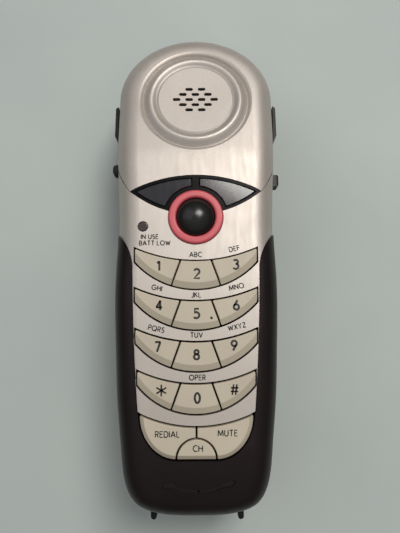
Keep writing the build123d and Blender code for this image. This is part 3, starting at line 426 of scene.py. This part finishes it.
SIGNS = {
    "1": [[(0.06, -0.5), (0.06, 0.5)], [(0.06, 0.48), (-0.18, 0.28)]],
    "2": [arc(0, 0.22, 0.26, 0.26, 165, -35) + [(-0.28, -0.48), (0.30, -0.48)]],
    "3": [arc(0, 0.26, 0.22, 0.22, 150, -90), arc(0, -0.20, 0.27, 0.26, 90, -150)],
    "4": [[(0.12, -0.5), (0.12, 0.5)], [(0.12, 0.46), (-0.28, -0.20)], [(-0.32, -0.22), (0.32, -0.22)]],
    "5": [[(0.24, 0.48), (-0.16, 0.48)] + arc(-0.02, -0.18, 0.30, 0.30, 125, -145)],
    "6": [arc(0, -0.21, 0.27, 0.27, 0, 360), [(0.12, 0.5), (-0.24, -0.10)]],
    "7": [[(-0.28, 0.46), (0.28, 0.46)], [(0.24, 0.46), (-0.10, -0.5)]],
    "8": [arc(0, 0.26, 0.21, 0.21, 0, 360), arc(0, -0.21, 0.26, 0.26, 0, 360)],
    "9": [arc(0, 0.21, 0.27, 0.27, 0, 360), [(-0.12, -0.5), (0.24, 0.10)]],
    "0": [arc(0, 0, 0.26, 0.48, 0, 360)],
    "*": [[(sin(a) / 2, cos(a) / 2), (-sin(a) / 2, -cos(a) / 2)] for a in (0, pi / 3, -pi / 3)],
    "#": [
        [(-0.20, -0.45), (-0.06, 0.45)],
        [(0.08, -0.45), (0.22, 0.45)],
        [(-0.32, 0.14), (0.34, 0.14)],
        [(-0.34, -0.16), (0.32, -0.16)],
    ],
    "A": [[(0, -0.5), (0.38, 0.5)], [(0.38, 0.5), (0.76, -0.5)], [(0.13, -0.17), (0.63, -0.17)]],
    "B": [
        [(0, -0.5), (0, 0.5)] + arc(0.24, 0.26, 0.24, 0.24, 90, -90) + [(0, 0.02)],
        [(0.2, 0.02)] + arc(0.27, -0.24, 0.27, 0.26, 90, -90) + [(0, -0.5)],
    ],
    "C": [arc(0.45, 0, 0.45, 0.5, 50, 310)],
    "D": [[(0, -0.5), (0, 0.5)] + arc(0.25, 0, 0.42, 0.5, 90, -90) + [(0, -0.5)]],
    "E": [[(0.5, 0.5), (0, 0.5), (0, -0.5), (0.5, -0.5)], [(0, 0.03), (0.44, 0.03)]],
    "F": [[(0.5, 0.5), (0, 0.5), (0, -0.5)], [(0, 0.03), (0.44, 0.03)]],
    "G": [arc(0.47, 0, 0.47, 0.5, 50, 335) + [(0.92, 0), (0.5, 0)]],
    "H": [[(0, -0.5), (0, 0.5)], [(0.66, -0.5), (0.66, 0.5)], [(0, 0.03), (0.66, 0.03)]],
    "I": [[(0, -0.5), (0, 0.5)]],
    "J": [[(0.34, 0.5), (0.34, -0.28)] + arc(0.15, -0.28, 0.19, 0.22, 0, -150)],
    "K": [[(0, -0.5), (0, 0.5)], [(0.52, 0.5), (0, -0.05)], [(0.16, 0.1), (0.58, -0.5)]],
    "L": [[(0, 0.5), (0, -0.5), (0.46, -0.5)]],
    "M": [
        [(0, -0.5), (0.08, 0.5)],
        [(0.08, 0.5), (0.45, -0.4)],
        [(0.45, -0.4), (0.82, 0.5)],
        [(0.82, 0.5), (0.9, -0.5)],
    ],
    "N": [[(0, -0.5), (0, 0.5)], [(0, 0.5), (0.68, -0.5)], [(0.68, -0.5), (0.68, 0.5)]],
    "O": [arc(0.47, 0, 0.47, 0.5, 0, 360)],
    "P": [[(0, -0.5), (0, 0.5)] + arc(0.25, 0.24, 0.25, 0.26, 90, -90) + [(0, -0.02)]],
    "Q": [arc(0.47, 0, 0.47, 0.5, 0, 360), [(0.55, -0.2), (0.9, -0.55)]],
    "R": [
        [(0, -0.5), (0, 0.5)] + arc(0.25, 0.24, 0.25, 0.26, 90, -90) + [(0, -0.02)],
        [(0.22, -0.02), (0.52, -0.5)],
    ],
    "S": [arc(0.27, 0.26, 0.22, 0.24, 40, 270) + arc(0.27, -0.24, 0.25, 0.26, 80, -140)],
    "T": [[(0, 0.5), (0.6, 0.5)], [(0.3, 0.5), (0.3, -0.5)]],
    "U": [[(0, 0.5)] + arc(0.31, -0.2, 0.31, 0.3, 180, 360) + [(0.62, 0.5)]],
    "V": [[(0, 0.5), (0.35, -0.5)], [(0.35, -0.5), (0.7, 0.5)]],
    "W": [
        [(0, 0.5), (0.26, -0.5)],
        [(0.26, -0.5), (0.5, 0.35)],
        [(0.5, 0.35), (0.74, -0.5)],
        [(0.74, -0.5), (1, 0.5)],
    ],
    "X": [[(0, 0.5), (0.62, -0.5)], [(0.62, 0.5), (0, -0.5)]],
    "Y": [[(0, 0.5), (0.32, 0.02), (0.64, 0.5)], [(0.32, 0.02), (0.32, -0.5)]],
    "Z": [[(0, 0.48), (0.6, 0.48)], [(0.58, 0.48), (0.02, -0.48)], [(0, -0.48), (0.6, -0.48)]],
}
DOT = [arc(0, 0, 0.22, 0.22, 0, 360)]
DOT_PLACE = (5.1, -19.1)
DOT_SIZE = (1.0, 0.55)
LETTER_GAP = 0.27
WORD_GAP = 0.45
LETTER_STROKE = 0.37
LETTER_HEIGHT = 1.6
LAMP_WORD_HEIGHT = 1.5
KEY_WORD_HEIGHT = 1.8
# Height and stroke width of the signs on the keys.
DIGIT_SIZE = (3.25, 0.76)
SIGN_SIZE = (3.7, 0.58)


def word(name, text, place, height, body, top, turn=0.0, material=INK):
    """Printed word in capitals of the given height (millimetres)."""
    strokes = []
    pen = 0.0
    for letter in text:
        if letter == " ":
            pen += WORD_GAP
            continue
        strokes += [[(x + pen, y) for x, y in points] for points in SIGNS[letter]]
        pen = max(x for points in strokes for x, _ in points) + LETTER_GAP
    drawn(name, strokes, place, height, LETTER_STROKE, body, top, turn, material)


def make_legends():
    """Numbers on the keys, letters above them, and the words of the function keys and lamp."""
    digits = [
        ("key_1", "1", (-12.6, -1.5)),
        ("key_2", "2", (0.3, -4.3)),
        ("key_3", "3", (13.5, -1.2)),
        ("key_4", "4", (-12.4, -14.8)),
        ("key_5", "5", (0.2, -17.6)),
        ("key_6", "6", (13.4, -14.9)),
        ("key_7", "7", (-12.5, -28.4)),
        ("key_8", "8", (0.1, -31.1)),
        ("key_9", "9", (12.5, -28.1)),
        ("key_star", "*", (-11.4, -42.5)),
        ("key_0", "0", (0.3, -44.9)),
        ("key_hash", "#", (12.4, -42.3)),
    ]
    for body, text, place in digits:
        height, stroke = SIGN_SIZE if text in "*#" else DIGIT_SIZE
        drawn("digit_" + body[4:], SIGNS[text], place, height, stroke, body, KEY_TOP)
    drawn("raised_dot", DOT, DOT_PLACE, *DOT_SIZE, "key_5", KEY_TOP)
    letters = [
        ("ABC", (-0.1, 2.35), 0),
        ("DEF", (13.0, 4.3), 12),
        ("GHI", (-13.15, -8.95), -12),
        ("JKL", (0.0, -11.4), 0),
        ("MNO", (13.6, -8.7), 12),
        ("PQRS", (-13.25, -22.6), -12),
        ("TUV", (0.2, -24.7), 0),
        ("WXYZ", (13.5, -22.0), 12),
        ("OPER", (0.3, -38.5), 0),
    ]
    for text, place, turn in letters:
        word("letters_" + text, text, place, LETTER_HEIGHT, "handset", PANEL_TOP, turn, PANEL_INK)
    for name, text, place in (("in_use", "IN USE", (-15.85, 8.6)), ("batt_low", "BATT LOW", (-14.0, 6.4))):
        word("word_" + name, text, place, LAMP_WORD_HEIGHT, "handset", PANEL_TOP, 0, PANEL_INK)
    for name, text, place in (
        ("redial", "REDIAL", (-9.45, -56.2)),
        ("mute", "MUTE", (9.9, -55.9)),
        ("channel", "CH", (0.4, -60.6)),
    ):
        word("word_" + name, text, place, KEY_WORD_HEIGHT, "key_" + name, KEY_TOP)


make_camera()
paint_frame()
make_floor()
make_light()
make_speaker_cloth()
make_legends()
